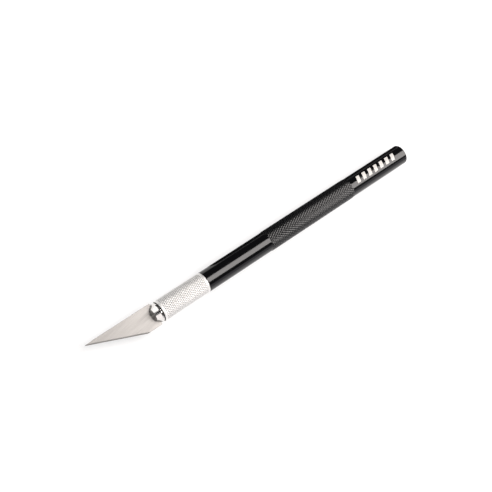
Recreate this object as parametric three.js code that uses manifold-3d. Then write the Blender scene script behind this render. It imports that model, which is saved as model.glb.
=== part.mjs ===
// Hobby craft knife: a round handle with a knurled grip, and a screw chuck that clamps a
// replaceable blade. Millimetres, +Z up. The knife lies along X with the blade's tip towards -X,
// the blade flat and its spine towards +Y. Stations along X are measured from the joint between
// the collar and the handle, and rise towards the rear end.
//
// The chuck's shank screws into the handle. The collar is a sleeve that bears on the handle's
// front face, and its countersunk mouth squeezes the four jaws together on the blade's tang as the
// chuck is drawn in. The four jaws are the spring fingers of the slotted chuck.

import * as THREE from "three";
import { mergeVertices } from "three/addons/utils/BufferGeometryUtils.js";
import Module from "manifold-3d";

const wasm = await Module();
wasm.setup();

// Handle
const HANDLE_LENGTH = 102.5;
const HANDLE_RADIUS = 4;
const GRIP_RADIUS = 4.15;
const GRIP_START = 29.6;
const GRIP_LENGTH = 43;
const GRIP_RAMP = 0.6;
const END_CHAMFER = 0.25;
const TAPPED_HOLE_RADIUS = 2.15;
const TAPPED_HOLE_DEPTH = 14;
const DRILL_POINT = 1.3;

// Collar
const COLLAR_LENGTH = 20;
const COLLAR_BORE_RADIUS = 2.75;
const MOUTH_RADIUS = 3.2;
const MOUTH_DEPTH = 1.8;
const COLLAR_CHAMFER = 0.2;
const BEARING_GAP = 0.05;

// Chuck: shank and jaws
const THREAD_RADIUS = 1.95;
const THREAD_LENGTH = 11.5;
const NECK_STATION = -0.6;
const ARM_RADIUS = 2.35;
const ROOT_STATION = -6;
const ROOT_GAP = 0.3;
const CONE_CLEARANCE = 0.12;
const HEAD_GAP = 0.35;
const HEAD_RADIUS = 3.7;
const HEAD_BAND = 0.55;
const NOSE_STATION = -23.3;
const NOSE_FLAT_RADIUS = 0.6;
const NOSE_EDGE_RADIUS = 2.5;
const NOSE_DOME_RADIUS = 5.1;
const CROSS_SLIT = 0.45;

// Blade
const BLADE_THICKNESS = 0.5;
const BLADE_SIDE_GAP = 0.05;
const BLADE_HALF_WIDTH = 4.3;
const TIP_STATION = -48.8;
const TIP_DROP = 0.22;
const DROP_STATION = -45.3;
const HEEL_STATION = -27.65;
const SHOULDER_STATION = -21.4;
const SHOULDER_ROUNDING = 0.6;
const TANG_HALF_WIDTH = 2.2;
const TANG_END_STATION = -8;
const TANG_CORNER = 0.8;
const TANG_SLOT_HALF_WIDTH = 0.8;
const TANG_SLOT_LENGTH = 6;
const TANG_SLOT_STATION = -14;
const BEVEL_WIDTH = 0.6;

// Every turned piece is a prism whose flats touch the true circle, with flats facing +Y, -Y, +Z and -Z.
const SIDES = 24;
const OUTSIDE = 1 / Math.cos(Math.PI / SIDES);

// Larger than any piece's width, for the blocks that only cut.
const CUTTER_SIZE = 40;

const finish = {
  anodised: { color: 0x0b0b0d, roughness: 0.3, metalness: 0.6 },
  aluminium: { color: 0xd6d7d8, roughness: 0.35, metalness: 1 },
  nickel: { color: 0xc9c7c4, roughness: 0.15, metalness: 1 },
  ground_steel: { color: 0xb3aca4, roughness: 0.4, metalness: 1 },
};

// A solid of revolution about X. The outline is a list of [station, radius] pairs that starts and
// ends on the axis, or closes on itself.
function turned(outline) {
  const profile = outline.map(([station, radius]) => new THREE.Vector2(radius * OUTSIDE, station));
  const geometry = new THREE.LatheGeometry(profile, SIDES, Math.PI / SIDES);
  return geometry.rotateZ(-Math.PI / 2);
}

function toSolid(geometry) {
  const bare = geometry.clone();
  bare.deleteAttribute("normal");
  bare.deleteAttribute("uv");
  const merged = mergeVertices(bare, 1e-4);
  return new wasm.Manifold(
    new wasm.Mesh({
      numProp: 3,
      vertProperties: merged.attributes.position.array,
      triVerts: new Uint32Array(merged.index.array),
    }),
  );
}

function toGeometry(solid) {
  const mesh = solid.getMesh();
  const geometry = new THREE.BufferGeometry();
  geometry.setAttribute("position", new THREE.BufferAttribute(mesh.vertProperties, 3));
  geometry.setIndex(new THREE.BufferAttribute(mesh.triVerts, 1));
  geometry.computeVertexNormals();
  return geometry;
}

function named(name, geometry, look) {
  const mesh = new THREE.Mesh(geometry, new THREE.MeshStandardMaterial(look));
  mesh.name = name;
  return mesh;
}

// One bar from end to end: a tapped blind hole in front, a slightly proud grip, a flat rear end.
function handle() {
  const gripEnd = GRIP_START + GRIP_LENGTH;
  return named(
    "handle",
    turned([
      [TAPPED_HOLE_DEPTH + DRILL_POINT, 0],
      [TAPPED_HOLE_DEPTH, TAPPED_HOLE_RADIUS],
      [0, TAPPED_HOLE_RADIUS],
      [0, HANDLE_RADIUS],
      [GRIP_START, HANDLE_RADIUS],
      [GRIP_START + GRIP_RAMP, GRIP_RADIUS],
      [gripEnd - GRIP_RAMP, GRIP_RADIUS],
      [gripEnd, HANDLE_RADIUS],
      [HANDLE_LENGTH - END_CHAMFER, HANDLE_RADIUS],
      [HANDLE_LENGTH, HANDLE_RADIUS - END_CHAMFER],
      [HANDLE_LENGTH, 0],
    ]),
    finish.anodised,
  );
}

// The knurled sleeve, with a plain bore and a countersunk mouth.
function collar() {
  const back = -BEARING_GAP;
  return named(
    "collar",
    turned([
      [back, COLLAR_BORE_RADIUS],
      [MOUTH_DEPTH - COLLAR_LENGTH, COLLAR_BORE_RADIUS],
      [-COLLAR_LENGTH, MOUTH_RADIUS],
      [-COLLAR_LENGTH, HANDLE_RADIUS - COLLAR_CHAMFER],
      [COLLAR_CHAMFER - COLLAR_LENGTH, HANDLE_RADIUS],
      [back, HANDLE_RADIUS],
      [back, COLLAR_BORE_RADIUS],
    ]),
    finish.aluminium,
  );
}

// The chuck behind its slots: a plain neck in the collar's bore and the threaded end in the handle.
function chuckShank() {
  return named(
    "chuck_shank",
    turned([
      [ROOT_STATION + ROOT_GAP, 0],
      [ROOT_STATION + ROOT_GAP, ARM_RADIUS],
      [NECK_STATION, ARM_RADIUS],
      [NECK_STATION, THREAD_RADIUS],
      [THREAD_LENGTH - END_CHAMFER, THREAD_RADIUS],
      [THREAD_LENGTH, THREAD_RADIUS - END_CHAMFER],
      [THREAD_LENGTH, 0],
    ]),
    finish.nickel,
  );
}

// The chuck's domed front face, as [station, radius] pairs from its small flat to its edge.
function noseDome() {
  const steps = 4;
  const depthAt = (radius) => Math.sqrt(NOSE_DOME_RADIUS ** 2 - radius ** 2);
  const dome = [];
  for (let i = 0; i <= steps; i++) {
    const radius = NOSE_FLAT_RADIUS + ((NOSE_EDGE_RADIUS - NOSE_FLAT_RADIUS) * i) / steps;
    dome.push([NOSE_STATION + depthAt(NOSE_FLAT_RADIUS) - depthAt(radius), radius]);
  }
  return dome;
}

// The slotted part of the chuck before its two slots are cut: nose, band, back cone and arms.
function jawsUncut() {
  const coneSlope = (MOUTH_RADIUS - COLLAR_BORE_RADIUS) / MOUTH_DEPTH;
  const headBack = -COLLAR_LENGTH - HEAD_GAP;
  const coneRadius = MOUTH_RADIUS - CONE_CLEARANCE + HEAD_GAP * coneSlope;
  const coneLength = (coneRadius - ARM_RADIUS) / coneSlope;
  return turned([
    [NOSE_STATION, 0],
    ...noseDome(),
    [headBack - HEAD_BAND, HEAD_RADIUS],
    [headBack, HEAD_RADIUS],
    [headBack, coneRadius],
    [headBack + coneLength, ARM_RADIUS],
    [ROOT_STATION, ARM_RADIUS],
    [ROOT_STATION, 0],
  ]);
}

// A block that keeps one quarter of the chuck, less half of the cross slit and half of the blade's slot.
function quarterBlock(sideY, sideZ) {
  const slot = BLADE_THICKNESS + 2 * BLADE_SIDE_GAP;
  const block = new THREE.BoxGeometry(2 * CUTTER_SIZE, CUTTER_SIZE, CUTTER_SIZE);
  const y = sideY * (CUTTER_SIZE + CROSS_SLIT) * 0.5;
  const z = sideZ * (CUTTER_SIZE + slot) * 0.5;
  return block.translate(0, y, z);
}

function jaws() {
  const whole = toSolid(jawsUncut());
  const quarters = [
    ["jaw_spine_upper", 1, 1],
    ["jaw_edge_upper", -1, 1],
    ["jaw_edge_lower", -1, -1],
    ["jaw_spine_lower", 1, -1],
  ];
  return quarters.map(([name, sideY, sideZ]) => {
    const quarter = whole.intersect(toSolid(quarterBlock(sideY, sideZ)));
    return named(name, toGeometry(quarter), finish.nickel);
  });
}

// The blade seen from above: a spine that drops a little at the tip, slanting edge, short heel,
// square shoulders and a slotted tang.
function bladeOutline() {
  const w = BLADE_HALF_WIDTH;
  const shoulder = SHOULDER_STATION;
  const r = SHOULDER_ROUNDING;
  const tang = TANG_HALF_WIDTH;
  const tangEnd = TANG_END_STATION;
  const shape = new THREE.Shape();
  shape.moveTo(TIP_STATION, w - TIP_DROP);
  shape.lineTo(HEEL_STATION, -w);
  shape.lineTo(shoulder - r, -w);
  shape.absarc(shoulder - r, r - w, r, -Math.PI / 2, 0);
  shape.lineTo(shoulder, -tang);
  shape.lineTo(tangEnd - TANG_CORNER, -tang);
  shape.lineTo(tangEnd, TANG_CORNER - tang);
  shape.lineTo(tangEnd, tang - TANG_CORNER);
  shape.lineTo(tangEnd - TANG_CORNER, tang);
  shape.lineTo(shoulder, tang);
  shape.lineTo(shoulder, w - r);
  shape.absarc(shoulder - r, w - r, r, 0, Math.PI / 2);
  shape.lineTo(DROP_STATION, w);
  shape.closePath();
  shape.holes.push(tangSlot());
  return shape;
}

function tangSlot() {
  const reach = TANG_SLOT_LENGTH / 2 - TANG_SLOT_HALF_WIDTH;
  const slot = new THREE.Path();
  slot.absarc(TANG_SLOT_STATION + reach, 0, TANG_SLOT_HALF_WIDTH, -Math.PI / 2, Math.PI / 2);
  slot.absarc(TANG_SLOT_STATION - reach, 0, TANG_SLOT_HALF_WIDTH, Math.PI / 2, 1.5 * Math.PI);
  slot.closePath();
  return slot;
}

// The wedge ground off one face of the blade, along the whole cutting edge.
function bevelWedge(side) {
  const reach = 2;
  const slope = (side * BLADE_THICKNESS) / 2 / BEVEL_WIDTH;
  const section = new THREE.Shape();
  section.moveTo(-reach, -reach * slope);
  section.lineTo(reach, reach * slope);
  section.lineTo(-reach, reach * slope);
  section.closePath();
  const tipY = BLADE_HALF_WIDTH - TIP_DROP;
  const along = new THREE.Vector3(HEEL_STATION - TIP_STATION, -BLADE_HALF_WIDTH - tipY, 0);
  const edgeLength = along.length();
  along.normalize();
  const up = new THREE.Vector3(0, 0, 1);
  const inward = new THREE.Vector3().crossVectors(up, along);
  const place = new THREE.Matrix4().makeBasis(inward, up, along);
  place.setPosition(TIP_STATION, tipY, 0);
  const wedge = new THREE.ExtrudeGeometry(section, {
    depth: edgeLength + 2 * reach,
    bevelEnabled: false,
  });
  return wedge.translate(0, 0, -reach).applyMatrix4(place);
}

function blade() {
  const plate = new THREE.ExtrudeGeometry(bladeOutline(), {
    depth: BLADE_THICKNESS,
    bevelEnabled: false,
    curveSegments: 6,
  });
  plate.translate(0, 0, -BLADE_THICKNESS / 2);
  const ground = [1, -1].reduce(
    (solid, side) => solid.subtract(toSolid(bevelWedge(side))),
    toSolid(plate),
  );
  return named("blade", toGeometry(ground), finish.ground_steel);
}

// The origin is at the bottom centre of the knife's box, where the grip's lowest flat touches what
// the knife lies on.
const group = new THREE.Group();
group.add(handle(), collar(), chuckShank(), ...jaws(), blade());
group.position.set(-(TIP_STATION + HANDLE_LENGTH) / 2, 0, GRIP_RADIUS);

export default group;
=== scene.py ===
"""Hobby craft knife: the looks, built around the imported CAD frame. Metres throughout.

Stations along the knife are measured from the joint between the collar and the handle, and rise
towards the rear end. Angles about the knife's axis are measured from straight up towards +Y.
"""

import math

import bmesh
import bpy
from mathutils import Matrix, Vector
from mathutils.geometry import tessellate_polygon

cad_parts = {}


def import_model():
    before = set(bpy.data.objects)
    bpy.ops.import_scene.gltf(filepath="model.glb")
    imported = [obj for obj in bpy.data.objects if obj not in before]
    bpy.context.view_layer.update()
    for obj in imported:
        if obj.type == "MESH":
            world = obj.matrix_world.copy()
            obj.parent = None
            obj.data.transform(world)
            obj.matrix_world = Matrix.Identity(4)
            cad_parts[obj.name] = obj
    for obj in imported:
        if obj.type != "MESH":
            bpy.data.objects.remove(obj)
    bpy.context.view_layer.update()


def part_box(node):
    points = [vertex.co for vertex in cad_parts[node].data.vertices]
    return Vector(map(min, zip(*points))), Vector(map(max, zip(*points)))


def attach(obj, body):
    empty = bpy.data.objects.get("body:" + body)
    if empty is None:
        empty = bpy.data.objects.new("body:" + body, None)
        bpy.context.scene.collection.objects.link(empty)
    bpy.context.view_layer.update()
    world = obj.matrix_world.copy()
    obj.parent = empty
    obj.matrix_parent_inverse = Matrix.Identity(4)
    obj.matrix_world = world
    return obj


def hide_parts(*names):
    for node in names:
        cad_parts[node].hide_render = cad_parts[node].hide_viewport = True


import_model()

MM = 0.001
TAU = 2 * math.pi

# Sizes that the frame gives
HANDLE_LOW, HANDLE_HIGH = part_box("handle")
COLLAR_LOW, COLLAR_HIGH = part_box("collar")
SHANK_LOW, SHANK_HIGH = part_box("chuck_shank")
JAW_LOW, JAW_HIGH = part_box("jaw_spine_upper")
BLADE_LOW, BLADE_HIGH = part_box("blade")
SEAT_X = HANDLE_LOW.x
AXIS_Y = (HANDLE_LOW.y + HANDLE_HIGH.y) / 2
AXIS_Z = (HANDLE_LOW.z + HANDLE_HIGH.z) / 2
GRIP_RADIUS = (HANDLE_HIGH.z - HANDLE_LOW.z) / 2
BODY_RADIUS = (COLLAR_HIGH.z - COLLAR_LOW.z) / 2
HANDLE_END = HANDLE_HIGH.x - SEAT_X
COLLAR_FRONT = COLLAR_LOW.x - SEAT_X
COLLAR_BACK = COLLAR_HIGH.x - SEAT_X
SHANK_FACE = SHANK_LOW.x - SEAT_X
THREAD_END = SHANK_HIGH.x - SEAT_X
JAW_ROOT = JAW_HIGH.x - SEAT_X
NOSE_STATION = JAW_LOW.x - SEAT_X
TIP_STATION = BLADE_LOW.x - SEAT_X
TANG_END = BLADE_HIGH.x - SEAT_X
BLADE_HALF_WIDTH = (BLADE_HIGH.y - BLADE_LOW.y) / 2
BLADE_HALF_THICKNESS = (BLADE_HIGH.z - BLADE_LOW.z) / 2

# Handle
GRIP_START = 29.6 * MM
GRIP_LENGTH = 43 * MM
GRIP_RAMP = 0.6 * MM
HANDLE_CHAMFER = 0.25 * MM
SEAT_ROUNDING = 0.3 * HANDLE_CHAMFER
HOLE_RADIUS = 2.15 * MM
HOLE_DEPTH = 14 * MM
DRILL_POINT = 1.3 * MM
GRIP_STARTS = 28
GRIP_KNURL_ANGLE = math.radians(30)
GRIP_GROOVE = 0.145 * MM
GRIP_CREST = 0.15

# Collar
COLLAR_BORE = 2.75 * MM
MOUTH_RADIUS = 3.2 * MM
MOUTH_DEPTH = 1.8 * MM
COLLAR_CHAMFER = 0.2 * MM
COLLAR_BACK_ROUNDING = 0.5 * COLLAR_CHAMFER
RIM_LENGTH = 0.55 * MM
COLLAR_STARTS = 34
COLLAR_KNURL_ANGLE = math.radians(26.2)
COLLAR_GROOVE = 0.14 * MM
COLLAR_CREST = 0.2
# Rings at the collar's front that get painted shade
SHADED_RINGS = 4

# Both knurls. Surfaces below a share of the knurled radius, such as bores, stay plain.
STEPS_PER_PITCH = 8
KNURLED_SHARE = 0.9
KNURL_FADE = 0.35 * MM
PIT_DEPTH = 0.5

# Chuck
THREAD_RADIUS = 1.95 * MM
THREAD_PITCH = 0.8 * MM
THREAD_DEPTH = 0.35 * MM
THREAD_CREST = 0.15
THREAD_STEPS = 12
SHANK_COLUMNS = 48
NECK_STATION = -0.6 * MM
ARM_RADIUS = 2.35 * MM
CONE_CLEARANCE = 0.12 * MM
HEAD_GAP = 0.35 * MM
HEAD_RADIUS = 3.7 * MM
HEAD_BAND = 0.55 * MM
NOSE_FLAT_RADIUS = 0.6 * MM
NOSE_EDGE_RADIUS = 2.5 * MM
NOSE_DOME_RADIUS = 5.1 * MM
CROSS_SLIT = 0.45 * MM
SLOT_GAP = 0.05 * MM
JAW_BEVEL = 0.06 * MM

# Blade
TIP_DROP = 0.22 * MM
DROP_STATION = -45.3 * MM
HEEL_STATION = -27.65 * MM
SHOULDER_STATION = -21.4 * MM
SHOULDER_ROUNDING = 0.6 * MM
TANG_HALF_WIDTH = 2.2 * MM
TANG_CORNER = 0.8 * MM
TANG_SLOT_HALF_WIDTH = 0.8 * MM
TANG_SLOT_LENGTH = 6 * MM
TANG_SLOT_STATION = -14 * MM
BEVEL_WIDTH = 0.42 * MM
BLADE_ARRIS = 0.04 * MM
GRINDING_TURN = math.radians(8)

# Printed mark on the rear stretch: plain slanted bars
MARK_START = 76 * MM
MARK_BARS = 7
MARK_PITCH = 3.2 * MM
MARK_WIDTH = 1.7 * MM
MARK_HEIGHT = 2.8 * MM
MARK_SLANT = 0.35
MARK_TURN = math.radians(12)
MARK_SUNK = 0.006 * MM
MARK_PROUD = 0.012 * MM

# How finely the pieces are divided
CORNER_STEPS = 5
BROKEN_EDGE_STEPS = 2
DOME_STEPS = 8
JAW_ARC_STEPS = 24
SHOULDER_STEPS = 8
SLOT_END_STEPS = 12
MARK_STEPS = 10
LEAST_STEP_SHARE = 0.3
FLAT_WITHIN = math.radians(0.5)

# Colours
BLACK_DYE = (0.002, 0.002, 0.0025)
ALUMINIUM = (0.93, 0.925, 0.91)
# Painted shade on the collar: groove bottoms, bore, mouth and front face
ALUMINIUM_SHADE = (0.06, 0.06, 0.06)
NICKEL = (0.78, 0.76, 0.74)
# Painted shade on the chuck: behind its head and in the thread's roots
NICKEL_SHADE = (0.03, 0.028, 0.025)
STEEL_DARK = (0.33, 0.32, 0.305)
STEEL_LIGHT = (0.475, 0.46, 0.445)
INK_THIN = (0.58, 0.56, 0.53)
INK_THICK = (0.72, 0.70, 0.67)

# Camera: it looks down on the knife from the blade's end, rolled so that the knife rises to the right
AIM = Vector((SEAT_X + 22 * MM, AXIS_Y + 2.757 * MM, 4.13 * MM))
CAMERA_DISTANCE = 332.9 * MM
CAMERA_AZIMUTH = math.radians(-88.96)
CAMERA_ELEVATION = math.radians(64.8)
CAMERA_ROLL = math.radians(55.9)
CAMERA_LENS = 65.85

# Studio
FLOOR_HALF = 3.0
FLOOR_GREY = (0.4, 0.4, 0.4)
FLOOR_GLOW = 0.6
ROOM_LIGHT = 0.05
CARD_BLACK = (0.004, 0.004, 0.004)
CARD_LOW = (SEAT_X + 6 * MM, 5 * MM)
CARD_HIGH = (SEAT_X + 140 * MM, 110 * MM)
CARD_HEIGHT = 0.3 * MM
CARD_SKEW = 0.5
WARM_WHITE = (1, 0.955, 0.935)
PINKISH_WHITE = (1, 0.96, 0.96)
VIOLET_WHITE = (0.97, 0.94, 1)


# ---------------------------------------------------------------- mesh helpers

def mesh_object(name, vertices, faces, body, replaced=()):
    """A mesh that rides on a body, with its faces turned outward, in place of the CAD nodes named."""
    mesh = bpy.data.meshes.new(name)
    mesh.from_pydata(vertices, [], faces)
    obj = bpy.data.objects.new(name, mesh)
    bpy.context.scene.collection.objects.link(obj)
    bm = bmesh.new()
    bm.from_mesh(mesh)
    bmesh.ops.recalc_face_normals(bm, faces=bm.faces)
    bm.to_mesh(mesh)
    bm.free()
    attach(obj, body)
    if replaced:
        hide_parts(*replaced)
    return obj


def break_edges(obj, width, over_degrees, keep=None):
    """Rounds every edge that turns by more than the angle, apart from those that end at the point keep."""
    bm = bmesh.new()
    bm.from_mesh(obj.data)
    bmesh.ops.dissolve_limit(bm, angle_limit=FLAT_WITHIN, verts=bm.verts, edges=bm.edges)
    limit = math.radians(over_degrees)
    sharp = [edge for edge in bm.edges if edge.calc_face_angle(0) > limit]
    if keep is not None:
        sharp = [
            edge for edge in sharp if all((vert.co - keep).length > width for vert in edge.verts)
        ]
    bmesh.ops.bevel(
        bm, geom=sharp, offset=width, segments=BROKEN_EDGE_STEPS, profile=0.5, affect="EDGES"
    )
    bm.to_mesh(obj.data)
    bm.free()


def shade(obj, sharp_degrees):
    """Smooth shading with creases where faces meet at more than the angle."""
    obj.data.polygons.foreach_set("use_smooth", [True] * len(obj.data.polygons))
    obj.data.set_sharp_from_angle(angle=math.radians(sharp_degrees))


def on_axis(station, radius, angle):
    """The point at a station, and at a radius and angle about the axis."""
    return (
        SEAT_X + station,
        AXIS_Y + radius * math.sin(angle),
        AXIS_Z + radius * math.cos(angle),
    )


def rounded(station, radius, rounding, back):
    """The rounded corner of a turned outline, from the side to the end face at a station. back is the
    direction along the axis from that face into the solid."""
    corner = []
    for i in range(CORNER_STEPS + 1):
        turn = math.pi / 2 * i / CORNER_STEPS
        inset = rounding * (1 - math.sin(turn)) * back
        corner.append((station + inset, radius - rounding * (1 - math.cos(turn))))
    return corner


def revolve(profile, columns, relief=None, closed=False):
    """Vertices, faces and cut depths of a turned solid. The profile is a list of (station, radius) that
    starts and ends on the axis, or closes on itself. relief(station, radius, angle) gives how deep
    the surface is cut, and whether the groove there turns on as the station rises."""
    vertices, depths, rings = [], [], []
    for station, radius in profile:
        ring = range(len(vertices), len(vertices) + (columns if radius else 1))
        for i in range(len(ring)):
            angle = TAU * i / columns
            depth = relief(station, radius, angle)[0] if relief else 0.0
            vertices.append(on_axis(station, radius - depth, angle))
            depths.append(depth)
        rings.append(ring)
    spans = list(zip(profile, profile[1:], rings, rings[1:]))
    if closed:
        spans.append((profile[-1], profile[0], rings[-1], rings[0]))
    faces = []
    for (s0, r0), (s1, r1), a, b in spans:
        for i in range(columns):
            j = (i + 1) % columns
            if len(a) == 1:
                faces.append((a[0], b[i], b[j]))
            elif len(b) == 1:
                faces.append((a[i], b[0], a[j]))
            elif relief is None:
                faces.append((a[i], b[i], b[j], a[j]))
            else:
                middle = TAU * (i + 0.5) / columns
                turning_on = relief((s0 + s1) / 2, (r0 + r1) / 2, middle)[1]
                if turning_on == (s1 > s0):
                    faces += [(a[i], b[i], b[j]), (a[i], b[j], a[j])]
                else:
                    faces += [(a[i], b[i], a[j]), (b[i], b[j], a[j])]
    return vertices, faces, depths


def groove(turns, crest):
    """How far down a V groove a place is: 1 at the bottom of each whole turn, 0 on the flat crest."""
    wave = abs(2 * (turns % 1) - 1)
    return max(0.0, (wave - crest) / (1 - crest))


def diamond_knurl(start, end, radius, starts, lean, depth, crest):
    """relief() for two crossed sets of grooves between two stations, and the pitch along the axis.
    The grooves lean to both sides of the axis, and are deeper where they cross."""
    pitch = TAU * radius / starts / math.tan(lean)

    def relief(station, at_radius, angle):
        if at_radius < KNURLED_SHARE * radius:
            return 0.0, True
        around = angle / TAU * starts
        along = (station - start) / pitch
        backward = groove(around + along, crest)
        forward = groove(around - along, crest)
        fade = min(1.0, max(0.0, min(station - start, end - station) / KNURL_FADE))
        share = (max(backward, forward) + PIT_DEPTH * min(backward, forward)) / (1 + PIT_DEPTH)
        return depth * fade * share, forward > backward

    return relief, pitch


def stations(start, end, step):
    """Stations from start to end, a step apart, with the last step as long as is left."""
    count = math.floor((end - start) / step)
    found = [start + i * step for i in range(count + 1)]
    if end - found[-1] < LEAST_STEP_SHARE * step:
        found.pop()
    return found + [end]


def store_depth_and_shade(obj, depths, deepest):
    """Keeps a value from 0 to 1 at each point for the material: how deep it is cut, or on the chuck's
    fingers where shade is painted.
    """
    attribute = obj.data.attributes.new("groove", "FLOAT", "POINT")
    attribute.data.foreach_set("value", [depth / deepest for depth in depths])


# ---------------------------------------------------------------- pieces

def handle():
    """The bar with its knurled grip, which stands slightly proud of the plain stretches."""
    grip_end = GRIP_START + GRIP_LENGTH
    relief, pitch = diamond_knurl(
        GRIP_START, grip_end, GRIP_RADIUS, GRIP_STARTS, GRIP_KNURL_ANGLE, GRIP_GROOVE, GRIP_CREST
    )
    profile = [
        (HOLE_DEPTH + DRILL_POINT, 0),
        (HOLE_DEPTH, HOLE_RADIUS),
        (HANDLE_CHAMFER, HOLE_RADIUS),
        (0, HOLE_RADIUS + HANDLE_CHAMFER),
    ]
    profile += reversed(rounded(0, BODY_RADIUS, SEAT_ROUNDING, 1))
    for station in stations(GRIP_START, grip_end, pitch / STEPS_PER_PITCH):
        rise = min(1.0, (station - GRIP_START) / GRIP_RAMP, (grip_end - station) / GRIP_RAMP)
        profile.append((station, BODY_RADIUS + rise * (GRIP_RADIUS - BODY_RADIUS)))
    profile += rounded(HANDLE_END, BODY_RADIUS, HANDLE_CHAMFER, -1)
    profile.append((HANDLE_END, 0))
    vertices, faces, depths = revolve(profile, GRIP_STARTS * STEPS_PER_PITCH, relief)
    obj = mesh_object("handle_bar", vertices, faces, "handle", ["handle"])
    store_depth_and_shade(obj, depths, GRIP_GROOVE)
    shade(obj, sharp_degrees=8)
    return obj


def collar():
    """The knurled sleeve, with plain rims, a plain bore and a countersunk mouth. Its first rings, of the
    bore, mouth and front face, get painted shade as dark as the bottoms of the grooves."""
    start, end = COLLAR_FRONT + RIM_LENGTH, COLLAR_BACK - RIM_LENGTH
    relief, pitch = diamond_knurl(
        start, end, BODY_RADIUS, COLLAR_STARTS, COLLAR_KNURL_ANGLE, COLLAR_GROOVE, COLLAR_CREST
    )
    profile = [(COLLAR_BACK, COLLAR_BORE), (COLLAR_FRONT + MOUTH_DEPTH, COLLAR_BORE)]
    profile.append((COLLAR_FRONT, MOUTH_RADIUS))
    profile += reversed(rounded(COLLAR_FRONT, BODY_RADIUS, COLLAR_CHAMFER, 1))
    for station in stations(start, end, pitch / STEPS_PER_PITCH):
        profile.append((station, BODY_RADIUS))
    profile += rounded(COLLAR_BACK, BODY_RADIUS, COLLAR_BACK_ROUNDING, -1)
    columns = COLLAR_STARTS * STEPS_PER_PITCH
    vertices, faces, depths = revolve(profile, columns, relief, closed=True)
    # Painted shade: the bore, mouth and front face count as fully cut, so the material darkens them.
    shaded = SHADED_RINGS * columns
    depths[:shaded] = [COLLAR_GROOVE] * shaded
    obj = mesh_object("collar_sleeve", vertices, faces, "collar", ["collar"])
    store_depth_and_shade(obj, depths, COLLAR_GROOVE)
    shade(obj, sharp_degrees=10)
    return obj


def shank():
    """The chuck's plain neck and its threaded end, which screws into the handle."""

    def thread(station, radius, angle):
        """A right-hand V thread, which runs out at both ends. The neck and the end face have none."""
        if radius > THREAD_RADIUS or radius < THREAD_RADIUS / 2:
            return 0.0, False
        reach = min(station - NECK_STATION, THREAD_END - station) / THREAD_PITCH
        fade = min(1.0, max(0.0, reach))
        turns = station / THREAD_PITCH + angle / TAU
        return THREAD_DEPTH * fade * groove(turns, THREAD_CREST), False

    profile = [(SHANK_FACE, 0)]
    profile += reversed(rounded(SHANK_FACE, ARM_RADIUS, JAW_BEVEL, 1))
    profile.append((NECK_STATION, ARM_RADIUS))
    for station in stations(NECK_STATION, THREAD_END - HANDLE_CHAMFER, THREAD_PITCH / THREAD_STEPS):
        profile.append((station, THREAD_RADIUS))
    profile.append((THREAD_END, THREAD_RADIUS - HANDLE_CHAMFER))
    profile.append((THREAD_END, 0))
    vertices, faces, depths = revolve(profile, SHANK_COLUMNS, thread)
    obj = mesh_object("threaded_shank", vertices, faces, "chuck", ["chuck_shank"])
    # The nickel material paints shade into the thread's roots from these depths.
    store_depth_and_shade(obj, depths, THREAD_DEPTH)
    shade(obj, sharp_degrees=25)
    return obj


def dome_depth(radius):
    """How far the domed nose stands in front of its own centre, at a radius from the axis."""
    return math.sqrt(NOSE_DOME_RADIUS ** 2 - radius ** 2)


def jaw_outline():
    """The chuck's turned outline from the domed nose back to the roots of the arms."""
    cone_slope = (MOUTH_RADIUS - COLLAR_BORE) / MOUTH_DEPTH
    head_back = COLLAR_FRONT - HEAD_GAP
    cone_radius = MOUTH_RADIUS - CONE_CLEARANCE + HEAD_GAP * cone_slope
    cone_end = head_back + (cone_radius - ARM_RADIUS) / cone_slope
    dome = []
    for i in range(DOME_STEPS + 1):
        radius = NOSE_FLAT_RADIUS + (NOSE_EDGE_RADIUS - NOSE_FLAT_RADIUS) * i / DOME_STEPS
        dome.append((NOSE_STATION + dome_depth(NOSE_FLAT_RADIUS) - dome_depth(radius), radius))
    return dome + [
        (head_back - HEAD_BAND, HEAD_RADIUS),
        (head_back, HEAD_RADIUS),
        (head_back, cone_radius),
        (cone_end, ARM_RADIUS),
        (JAW_ROOT, ARM_RADIUS),
    ]


def painted_gap_shade(point):
    """1 behind the chuck's head, in the collar's mouth, where shade is painted on, and 0 on the head."""
    behind_head = point.x - SEAT_X > COLLAR_FRONT - HEAD_GAP - JAW_BEVEL
    under_rim = math.hypot(point.y - AXIS_Y, point.z - AXIS_Z) < HEAD_RADIUS - 2 * JAW_BEVEL
    return 1.0 if behind_head and under_rim else 0.0


def jaw(name, side_y, side_z):
    """One spring finger of the chuck, between the cross slit and the blade's slot."""
    half_slit = CROSS_SLIT / 2
    half_slot = BLADE_HALF_THICKNESS + SLOT_GAP
    vertices, loops = [], []
    for station, radius in jaw_outline():
        first, last = math.asin(half_slit / radius), math.acos(half_slot / radius)
        section = [(half_slit, half_slot)]
        for i in range(JAW_ARC_STEPS + 1):
            angle = first + (last - first) * i / JAW_ARC_STEPS
            section.append((radius * math.sin(angle), radius * math.cos(angle)))
        loops.append(range(len(vertices), len(vertices) + len(section)))
        vertices += [
            (SEAT_X + station, AXIS_Y + side_y * y, AXIS_Z + side_z * z) for y, z in section
        ]
    faces = [tuple(loops[0]), tuple(loops[-1])]
    for a, b in zip(loops, loops[1:]):
        for i in range(len(a)):
            j = (i + 1) % len(a)
            faces.append((a[i], b[i], b[j], a[j]))
    obj = mesh_object(name + "_finger", vertices, faces, name, [name])
    break_edges(obj, JAW_BEVEL, over_degrees=30)
    # Painted shade: the finger is darkened where it lies behind the head, in the collar's mouth.
    store_depth_and_shade(obj, [painted_gap_shade(vertex.co) for vertex in obj.data.vertices], 1.0)
    shade(obj, sharp_degrees=20)
    return obj


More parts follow.
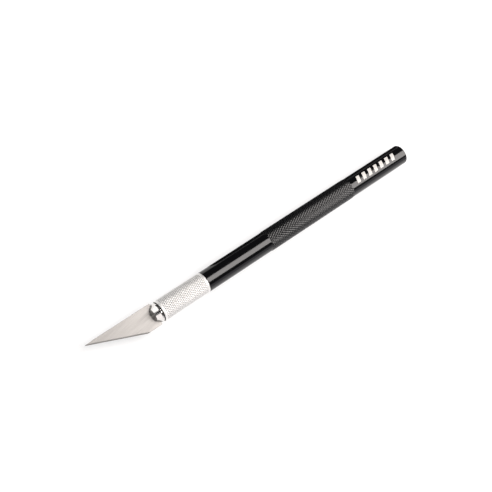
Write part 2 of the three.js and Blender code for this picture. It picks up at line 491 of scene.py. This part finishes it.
def blade_outline():
    """The flat of the blade inside its ground edge: spine to heel, shoulders, tang. Starts where the
    bevel leaves the spine, and its second point is where the bevel ends at the heel."""
    half, tang = BLADE_HALF_WIDTH, TANG_HALF_WIDTH
    slope = (HEEL_STATION - TIP_STATION) / (2 * half - TIP_DROP)
    along = BEVEL_WIDTH * math.hypot(1, slope)
    rise = TIP_DROP / (DROP_STATION - TIP_STATION)
    reach = along / (1 + rise * slope)
    corner = SHOULDER_ROUNDING

    def shoulder(side, turn):
        """A point of the rounded shoulder on one side of the blade."""
        return (
            SHOULDER_STATION - corner + corner * math.sin(turn),
            side * (half - corner + corner * math.cos(turn)),
        )

    turns = [math.pi / 2 * i / SHOULDER_STEPS for i in range(SHOULDER_STEPS + 1)]
    return [
        (TIP_STATION + reach, half - TIP_DROP + rise * reach),
        (HEEL_STATION + along, -half),
        *[shoulder(-1, turn) for turn in turns],
        (SHOULDER_STATION, -tang),
        (TANG_END - TANG_CORNER, -tang),
        (TANG_END, TANG_CORNER - tang),
        (TANG_END, tang - TANG_CORNER),
        (TANG_END - TANG_CORNER, tang),
        (SHOULDER_STATION, tang),
        *[shoulder(1, turn) for turn in reversed(turns)],
        (DROP_STATION, half),
    ]


def tang_slot():
    """The outline of the tang's slot, with its two round ends."""
    reach = TANG_SLOT_LENGTH / 2 - TANG_SLOT_HALF_WIDTH
    slot = []
    for side in (1, -1):
        for i in range(SLOT_END_STEPS + 1):
            turn = math.pi * i / SLOT_END_STEPS
            slot.append((
                TANG_SLOT_STATION + side * (reach + TANG_SLOT_HALF_WIDTH * math.sin(turn)),
                side * TANG_SLOT_HALF_WIDTH * math.cos(turn),
            ))
    return slot


def blade():
    """The plate, its slotted tang, and the two facets that meet at the cutting edge."""
    outline, slot = blade_outline(), tang_slot()
    flat = [Vector((SEAT_X + s, AXIS_Y + y, 0)) for s, y in outline + slot]
    count = len(flat)
    vertices = []
    for side in (1, -1):
        z = AXIS_Z + side * BLADE_HALF_THICKNESS
        vertices += [(point.x, point.y, z) for point in flat]
    tip, heel = 2 * count, 2 * count + 1
    vertices.append((SEAT_X + TIP_STATION, AXIS_Y + BLADE_HALF_WIDTH - TIP_DROP, AXIS_Z))
    vertices.append((SEAT_X + HEEL_STATION, AXIS_Y - BLADE_HALF_WIDTH, AXIS_Z))
    rings = [flat[:len(outline)], flat[len(outline):]]
    faces = []
    for triangle in tessellate_polygon(rings):
        faces.append(tuple(triangle))
        faces.append(tuple(i + count for i in triangle))
    for i in range(1, len(outline)):
        j = (i + 1) % len(outline)
        faces.append((i, j, j + count, i + count))
    for i in range(len(slot)):
        a, b = len(outline) + i, len(outline) + (i + 1) % len(slot)
        faces.append((a, b, b + count, a + count))
    for layer in (0, count):
        faces.append((layer, layer + 1, heel, tip))
    faces += [(0, tip, count), (1, heel, count + 1)]
    obj = mesh_object("steel_blade", vertices, faces, "blade", ["blade"])
    break_edges(obj, BLADE_ARRIS, over_degrees=60, keep=Vector(vertices[tip]))
    shade(obj, sharp_degrees=12)
    return obj


def mark_bar(number):
    """One slanted bar of the printed mark, a thin closed patch wrapped round the handle."""
    start = MARK_START + number * MARK_PITCH
    vertices = []
    for radius in (BODY_RADIUS + MARK_PROUD, BODY_RADIUS - MARK_SUNK):
        for i in range(MARK_STEPS + 1):
            across = MARK_HEIGHT * (i / MARK_STEPS - 0.5)
            for edge in (0, MARK_WIDTH):
                station = start + edge + MARK_SLANT * across
                vertices.append(on_axis(station, radius, MARK_TURN + across / BODY_RADIUS))
    layer = 2 * (MARK_STEPS + 1)
    faces = []
    for i in range(MARK_STEPS):
        a = 2 * i
        faces.append((a, a + 1, a + 3, a + 2))
        faces.append((layer + a, layer + a + 1, layer + a + 3, layer + a + 2))
        faces.append((a, a + 2, layer + a + 2, layer + a))
        faces.append((a + 1, a + 3, layer + a + 3, layer + a + 1))
    for a in (0, layer - 2):
        faces.append((a, a + 1, layer + a + 1, layer + a))
    obj = mesh_object(f"mark_bar_{number + 1}", vertices, faces, "handle")
    shade(obj, sharp_degrees=40)
    return obj


# ---------------------------------------------------------------- materials

def new_material(name, color, metallic, roughness):
    """A material, its node tree and its shader. A texture linked to the colour or the roughness takes
    the place of the flat value given here."""
    material = bpy.data.materials.new(name)
    material.use_nodes = True
    tree = material.node_tree
    shader = tree.nodes["Principled BSDF"]
    shader.inputs["Base Color"].default_value = (*color, 1)
    shader.inputs["Metallic"].default_value = metallic
    shader.inputs["Roughness"].default_value = roughness
    return material, tree, shader


def place_in_mm(tree, stretch, turn=0.0):
    """The place on the piece, with the lengths in stretch taken as units, after a turn about Z."""
    coordinates = tree.nodes.new("ShaderNodeTexCoord")
    mapping = tree.nodes.new("ShaderNodeMapping")
    mapping.vector_type = "TEXTURE"
    mapping.inputs["Location"].default_value = (SEAT_X, AXIS_Y, AXIS_Z)
    mapping.inputs["Rotation"].default_value = (0, 0, turn)
    mapping.inputs["Scale"].default_value = [length * MM for length in stretch]
    tree.links.new(coordinates.outputs["Object"], mapping.inputs["Vector"])
    return mapping.outputs["Vector"]


def noise(tree, vector, detail=3.0):
    """A soft random value from 0 to 1 that changes over about one unit of the vector."""
    node = tree.nodes.new("ShaderNodeTexNoise")
    node.inputs["Scale"].default_value = 1.0
    node.inputs["Detail"].default_value = detail
    tree.links.new(vector, node.inputs["Vector"])
    return node.outputs["Fac"]


def turning_rings(tree, spacing):
    """Fine rings about the knife's axis, on the sides and on the end faces, as a lathe leaves them."""
    split = tree.nodes.new("ShaderNodeSeparateXYZ")
    flat = tree.nodes.new("ShaderNodeCombineXYZ")
    length = tree.nodes.new("ShaderNodeVectorMath")
    length.operation = "LENGTH"
    both = tree.nodes.new("ShaderNodeMath")
    tree.links.new(place_in_mm(tree, (spacing, spacing, spacing)), split.inputs["Vector"])
    tree.links.new(split.outputs["Y"], flat.inputs["Y"])
    tree.links.new(split.outputs["Z"], flat.inputs["Z"])
    tree.links.new(flat.outputs["Vector"], length.inputs[0])
    tree.links.new(split.outputs["X"], both.inputs[0])
    tree.links.new(length.outputs["Value"], both.inputs[1])
    node = tree.nodes.new("ShaderNodeTexNoise")
    node.noise_dimensions = "1D"
    node.inputs["Scale"].default_value = 1.0
    node.inputs["Detail"].default_value = 2.0
    tree.links.new(both.outputs["Value"], node.inputs["W"])
    return node.outputs["Fac"]


def spread(tree, value, low, high, low_in=0.3, high_in=0.7):
    """The value taken from its own range to another."""
    node = tree.nodes.new("ShaderNodeMapRange")
    node.inputs["From Min"].default_value = low_in
    node.inputs["From Max"].default_value = high_in
    node.inputs["To Min"].default_value = low
    node.inputs["To Max"].default_value = high
    tree.links.new(value, node.inputs["Value"])
    return node.outputs["Result"]


def mixed(tree, factor, first, second):
    """A colour between two, by factor."""
    node = tree.nodes.new("ShaderNodeMix")
    node.data_type = "RGBA"
    color_a, color_b = [s for s in node.inputs if s.type == "RGBA"]
    color_a.default_value = (*first, 1)
    color_b.default_value = (*second, 1)
    tree.links.new(factor, node.inputs["Factor"])
    return next(s for s in node.outputs if s.type == "RGBA")


def bump(tree, shader, height, distance):
    """Fine relief in the shading alone: distance is the depth that a height of 1 stands for."""
    node = tree.nodes.new("ShaderNodeBump")
    node.inputs["Distance"].default_value = distance
    tree.links.new(height, node.inputs["Height"])
    tree.links.new(node.outputs["Normal"], shader.inputs["Normal"])


def depth_and_shade(tree):
    """What the mesh keeps for the material, from 0 to 1: how deep the surface is cut, or on the chuck's
    fingers where shade is painted.
    """
    node = tree.nodes.new("ShaderNodeAttribute")
    node.attribute_name = "groove"
    return node.outputs["Fac"]


def anodised_material():
    """Black dyed anodising: glossy, with faint turning rings and soft blotches, duller in grooves."""
    material, tree, shader = new_material("black_anodised", BLACK_DYE, metallic=0, roughness=0.12)
    shader.inputs["IOR"].default_value = 1.5
    blotches = noise(tree, place_in_mm(tree, (3, 1.2, 1.2)))
    etched = spread(tree, depth_and_shade(tree), 0, 0.33, low_in=0.45, high_in=0.85)
    roughness = tree.nodes.new("ShaderNodeMath")
    tree.links.new(spread(tree, blotches, 0.09, 0.15), roughness.inputs[0])
    tree.links.new(etched, roughness.inputs[1])
    tree.links.new(roughness.outputs["Value"], shader.inputs["Roughness"])
    bump(tree, shader, turning_rings(tree, 0.07), 0.0006 * MM)
    return material


def aluminium_material():
    """Bright turned and knurled aluminium, with painted shade that darkens it towards the bottoms of the
    grooves.
    """
    material, tree, shader = new_material("bright_aluminium", (0.8, 0.8, 0.8), metallic=1, roughness=0.3)
    wear = noise(tree, place_in_mm(tree, (1.1, 0.9, 0.9)))
    tree.links.new(spread(tree, wear, 0.56, 0.68), shader.inputs["Roughness"])
    # Painted shade: the colour runs from aluminium to near black as the cut deepens.
    painted_shade = spread(tree, depth_and_shade(tree), 0, 1, low_in=0.45, high_in=0.95)
    tint = mixed(tree, painted_shade, ALUMINIUM, ALUMINIUM_SHADE)
    tree.links.new(tint, shader.inputs["Base Color"])
    bump(tree, shader, turning_rings(tree, 0.05), 0.001 * MM)
    return material


def nickel_material():
    """Polished nickel plate with faint turning rings and smears, and painted shade in the thread's roots
    and behind the chuck's head.
    """
    material, tree, shader = new_material("polished_nickel", NICKEL, metallic=1, roughness=0.1)
    smears = noise(tree, place_in_mm(tree, (0.8, 0.8, 0.8)))
    tree.links.new(spread(tree, smears, 0.07, 0.2), shader.inputs["Roughness"])
    # Painted shade: the colour darkens to near black in the thread's roots and behind the chuck's head.
    shade_mask = spread(tree, depth_and_shade(tree), 0, 1, low_in=0.1, high_in=0.9)
    tint = mixed(tree, shade_mask, NICKEL, NICKEL_SHADE)
    tree.links.new(tint, shader.inputs["Base Color"])
    bump(tree, shader, turning_rings(tree, 0.04), 0.0008 * MM)
    return material


def steel_material():
    """Ground blade steel in a warm grey: fine lines that run nearly along the blade, and soft bands."""
    material, tree, shader = new_material("ground_steel", (0.4, 0.385, 0.37), metallic=1, roughness=0.5)
    lines = noise(tree, place_in_mm(tree, (7, 0.22, 3), GRINDING_TURN), detail=4)
    bands = noise(tree, place_in_mm(tree, (16, 1.3, 4), GRINDING_TURN), detail=1)
    tint = mixed(tree, lines, STEEL_DARK, STEEL_LIGHT)
    tree.links.new(tint, shader.inputs["Base Color"])
    tree.links.new(spread(tree, bands, 0.45, 0.55), shader.inputs["Roughness"])
    bump(tree, shader, lines, 0.004 * MM)
    return material


def ink_material():
    """Screen-printed white ink with a slightly uneven, matte surface."""
    material, tree, shader = new_material("white_ink", (0.85, 0.83, 0.8), metallic=0, roughness=0.5)
    grain = noise(tree, place_in_mm(tree, (0.12, 0.12, 0.12)))
    tree.links.new(spread(tree, grain, 0.42, 0.6), shader.inputs["Roughness"])
    tint = mixed(tree, grain, INK_THIN, INK_THICK)
    tree.links.new(tint, shader.inputs["Base Color"])
    bump(tree, shader, grain, 0.004 * MM)
    return material


def floor_material():
    """White acrylic, lit from below so that the knife casts almost no shadow."""
    material, _, shader = new_material("pale_floor", FLOOR_GREY, metallic=0, roughness=0.9)
    shader.inputs["Specular IOR Level"].default_value = 0.1
    shader.inputs["Emission Color"].default_value = (1, 1, 1, 1)
    shader.inputs["Emission Strength"].default_value = FLOOR_GLOW
    return material


def card_material():
    """Matt black card."""
    return new_material("black_card", CARD_BLACK, metallic=0, roughness=1)[0]


def finish(objects, material):
    """Gives the pieces their material."""
    for obj in objects:
        obj.data.materials.append(material)


# ---------------------------------------------------------------- studio

def sheet(name, low, high, height, material, skew=0.0):
    """A level four-sided sheet of the studio. Its sides lean by skew along X for each metre along Y."""
    mesh = bpy.data.meshes.new(name)
    shift = skew * (high[1] - low[1])
    corners = [
        (low[0], low[1]),
        (high[0], low[1]),
        (high[0] + shift, high[1]),
        (low[0] + shift, high[1]),
    ]
    mesh.from_pydata([(x, y, height) for x, y in corners], [], [(0, 1, 2, 3)])
    obj = bpy.data.objects.new(name, mesh)
    bpy.context.scene.collection.objects.link(obj)
    obj.data.materials.append(material)
    return obj


def dark_card():
    """A black card beside the handle, seen only in reflections."""
    card = sheet("dark_card", CARD_LOW, CARD_HIGH, CARD_HEIGHT, card_material(), CARD_SKEW)
    card.visible_camera = False
    card.visible_diffuse = False
    card.visible_shadow = False


def softbox(name, toward, distance, width, height, watts, color=(1, 1, 1)):
    """A rectangular lamp that lies in a direction from the knife and faces it."""
    lamp = bpy.data.lights.new(name, "AREA")
    lamp.shape = "RECTANGLE"
    lamp.size, lamp.size_y = width, height
    lamp.energy = watts
    lamp.color = color
    obj = bpy.data.objects.new(name, lamp)
    direction = Vector(toward).normalized()
    obj.location = direction * distance
    obj.rotation_euler = direction.to_track_quat("Z", "Y").to_euler()
    obj.visible_camera = False
    bpy.context.scene.collection.objects.link(obj)
    return obj


def world():
    """Even dim light from all round, behind which the camera sees the same white as the floor."""
    made = bpy.data.worlds.new("studio")
    made.use_nodes = True
    tree = made.node_tree
    backdrop = tree.nodes["Background"]
    dim = tree.nodes.new("ShaderNodeBackground")
    for background, strength in ((backdrop, 1.0), (dim, ROOM_LIGHT)):
        background.inputs["Color"].default_value = (1, 1, 1, 1)
        background.inputs["Strength"].default_value = strength
    path = tree.nodes.new("ShaderNodeLightPath")
    either = tree.nodes.new("ShaderNodeMixShader")
    tree.links.new(path.outputs["Is Camera Ray"], either.inputs["Fac"])
    tree.links.new(dim.outputs["Background"], either.inputs[1])
    tree.links.new(backdrop.outputs["Background"], either.inputs[2])
    tree.links.new(either.outputs["Shader"], tree.nodes["World Output"].inputs["Surface"])
    bpy.context.scene.world = made


def camera():
    """A camera that looks at AIM, rolled about its own axis."""
    data = bpy.data.cameras.new("camera")
    data.lens = CAMERA_LENS
    data.clip_start, data.clip_end = 0.01, 20
    obj = bpy.data.objects.new("camera", data)
    a, e, r = CAMERA_AZIMUTH, CAMERA_ELEVATION, CAMERA_ROLL
    back = Vector((math.sin(a) * math.cos(e), -math.cos(a) * math.cos(e), math.sin(e)))
    level = Vector((math.cos(a), math.sin(a), 0))
    right = level * math.cos(r) + back.cross(level) * math.sin(r)
    up = back.cross(right)
    turn = Matrix((right, up, back)).transposed().to_4x4()
    obj.matrix_world = Matrix.Translation(AIM + back * CAMERA_DISTANCE) @ turn
    bpy.context.scene.collection.objects.link(obj)
    bpy.context.scene.camera = obj


JAW_SIDES = {
    "jaw_spine_upper": (1, 1),
    "jaw_edge_upper": (-1, 1),
    "jaw_edge_lower": (-1, -1),
    "jaw_spine_lower": (1, -1),
}

finish([handle()], anodised_material())
finish([collar()], aluminium_material())
finish([shank()] + [jaw(name, *sides) for name, sides in JAW_SIDES.items()], nickel_material())
finish([blade()], steel_material())
finish([mark_bar(number) for number in range(MARK_BARS)], ink_material())

sheet("floor", (-FLOOR_HALF, -FLOOR_HALF), (FLOOR_HALF, FLOOR_HALF), 0.0, floor_material())
dark_card()
world()
camera()
softbox(
    "rear_box", (0.63, -0.13, 0.775), distance=0.65, width=0.5, height=0.6, watts=6.3, color=WARM_WHITE
)
softbox("front_left", (-0.6, 0.66, 0.4), distance=0.6, width=0.5, height=0.55, watts=1.1)
softbox(
    "front_right", (-0.6, -0.72, 0.35), distance=0.6, width=0.5, height=0.55, watts=1, color=PINKISH_WHITE
)
softbox(
    "side_panel", (0.42, -0.87, 0.2), distance=0.9, width=1.4, height=0.4, watts=1.15, color=VIOLET_WHITE
)
fill = softbox("floor_fill", (0.1, 0.35, 0.93), distance=1.2, width=1.2, height=1.2, watts=4)
fill.visible_glossy = False
bpy.context.scene.view_settings.view_transform = "Standard"
